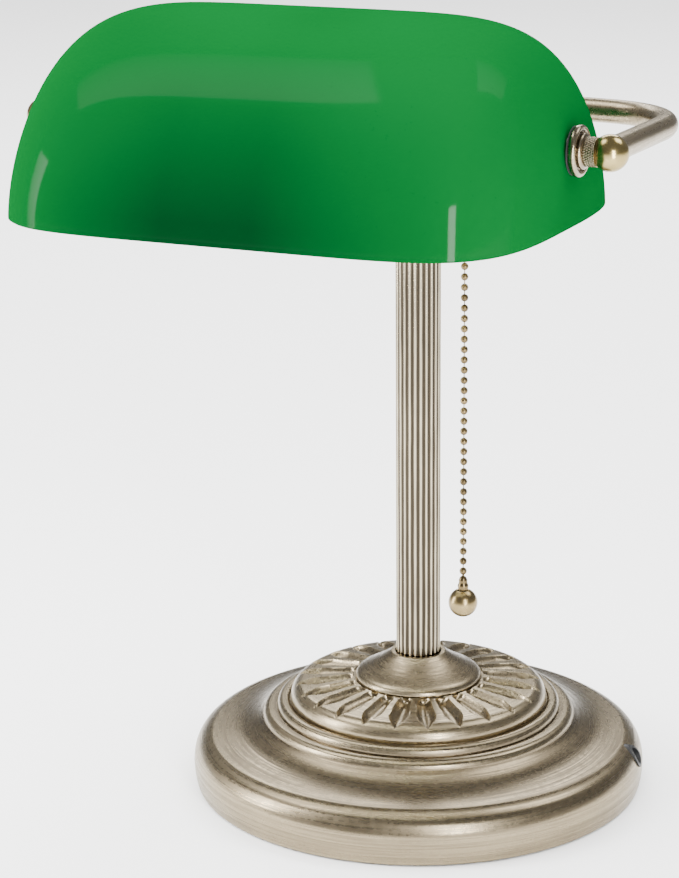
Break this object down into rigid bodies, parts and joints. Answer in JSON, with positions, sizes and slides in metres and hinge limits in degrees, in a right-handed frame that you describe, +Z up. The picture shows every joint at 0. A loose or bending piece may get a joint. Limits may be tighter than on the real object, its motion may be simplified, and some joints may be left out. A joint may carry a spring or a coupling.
{
  "type": "banker desk lamp",
  "caption": "Banker desk lamp with a stepped round base, reeded column, bowed yoke, tilting green glass shade and pull-chain switch.",
  "frame": {"origin": "centre of the felt pad's underside, on the table under the column's axis", "axes": "+Z up the column, -Y towards the shade and the user, +X towards the end of the shade with the socket"},
  "size_m": [0.2434, 0.2753, 0.3389],
  "materials": {
    "antique_brass": "brushed, antique",
    "polished_brass": "polished",
    "chain_brass": "polished",
    "cast_weight": "as cast",
    "cover_board": "matt",
    "felt": "felt",
    "black_plastic": "moulded",
    "white_plastic": "moulded",
    "fibre_liner": "pressed fibre",
    "rubber": "matt",
    "zinc_steel": "zinc plated",
    "aluminium": "rolled",
    "solder": "dull",
    "green_glass": "gloss, cased white inside",
    "opal_glass": "opal"
  },
  "bodies": {
    "stand": {"base_shell": "antique_brass", "fluted_dome": "antique_brass", "column_cone": "antique_brass", "base_weight": "cast_weight", "cover_plate": "cover_board", "felt_pad": "felt", "cord_bushing": "black_plastic", "rod_nut": "zinc_steel", "rod_washer": "zinc_steel", "threaded_rod": "zinc_steel", "column_tube": "antique_brass", "column_collar": "antique_brass", "yoke_hub": "antique_brass", "hub_finial": "polished_brass", "yoke_tube": "antique_brass", "ball_right": "polished_brass", "ball_left": "polished_brass", "neck_right": "antique_brass", "neck_left": "antique_brass", "cup_washer_right": "antique_brass", "cup_washer_left": "antique_brass", "rubber_washers": "rubber", "clamp_washers": "zinc_steel", "pivot_nipple": "zinc_steel", "pivot_stud": "zinc_steel", "lock_nuts": "zinc_steel", "socket_cap": "polished_brass", "socket_shell": "polished_brass", "socket_liner": "fibre_liner", "switch_body": "black_plastic", "screw_shell": "polished_brass", "centre_contact": "polished_brass", "chain_bell": "polished_brass", "lever_pin": "zinc_steel", "lever_spring": "zinc_steel"},
    "shade": {"shade_glass": "green_glass", "shade_bushings": "white_plastic"},
    "bulb": {"bulb_glass": "opal_glass", "bulb_base": "aluminium", "bulb_insulator": "black_plastic", "bulb_contact": "solder"},
    "chain_lead": {"lead_beads": "chain_brass", "lead_links": "chain_brass"},
    "chain_upper": {"upper_beads": "chain_brass", "upper_links": "chain_brass"},
    "chain_lower": {"lower_beads": "chain_brass", "lower_links": "chain_brass", "chain_coupling": "chain_brass", "pull_ball": "chain_brass"},
    "lever": {"switch_lever": "zinc_steel"},
    "rotor": {"switch_rotor": "white_plastic"}
  },
  "joints": [
    {"name": "shade_tilt", "type": "hinge", "parent": "stand", "child": "shade", "pos_m": [0, -0.098, 0.2926], "axis": [1, 0, 0], "range_deg": [-60, 60]},
    {"name": "bulb_turn", "type": "hinge", "parent": "stand", "child": "bulb", "pos_m": [0, -0.098, 0.2926], "axis": [1, 0, 0], "continuous": true},
    {"name": "chain_pull", "type": "slide", "parent": "stand", "child": "chain_lead", "axis": [0, 0, -1], "range_m": [0, 0.0066], "stiffness_N_per_m": 600, "springref_m": -0.003},
    {"name": "lever_swing", "type": "hinge", "parent": "stand", "child": "lever", "pos_m": [0.069, -0.098, 0.2876], "axis": [0, -1, 0], "range_deg": [0, 40]},
    {"name": "rotor_turn", "type": "hinge", "parent": "stand", "child": "rotor", "pos_m": [0.0675, -0.098, 0.2996], "axis": [0, 1, 0], "continuous": true},
    {"name": "chain_swing_side", "type": "hinge", "parent": "chain_lead", "child": "chain_upper", "pos_m": [0.06, -0.098, 0.2709], "axis": [0, 1, 0], "range_deg": [-12, 12]},
    {"name": "chain_swing_front", "type": "hinge", "parent": "chain_upper", "child": "chain_lower", "pos_m": [0.06, -0.098, 0.2085], "axis": [1, 0, 0], "range_deg": [-12, 12]}
  ],
  "couplings": [
    {"joint": "lever_swing", "follows": "chain_pull", "rad_per_m": 105}
  ]
}
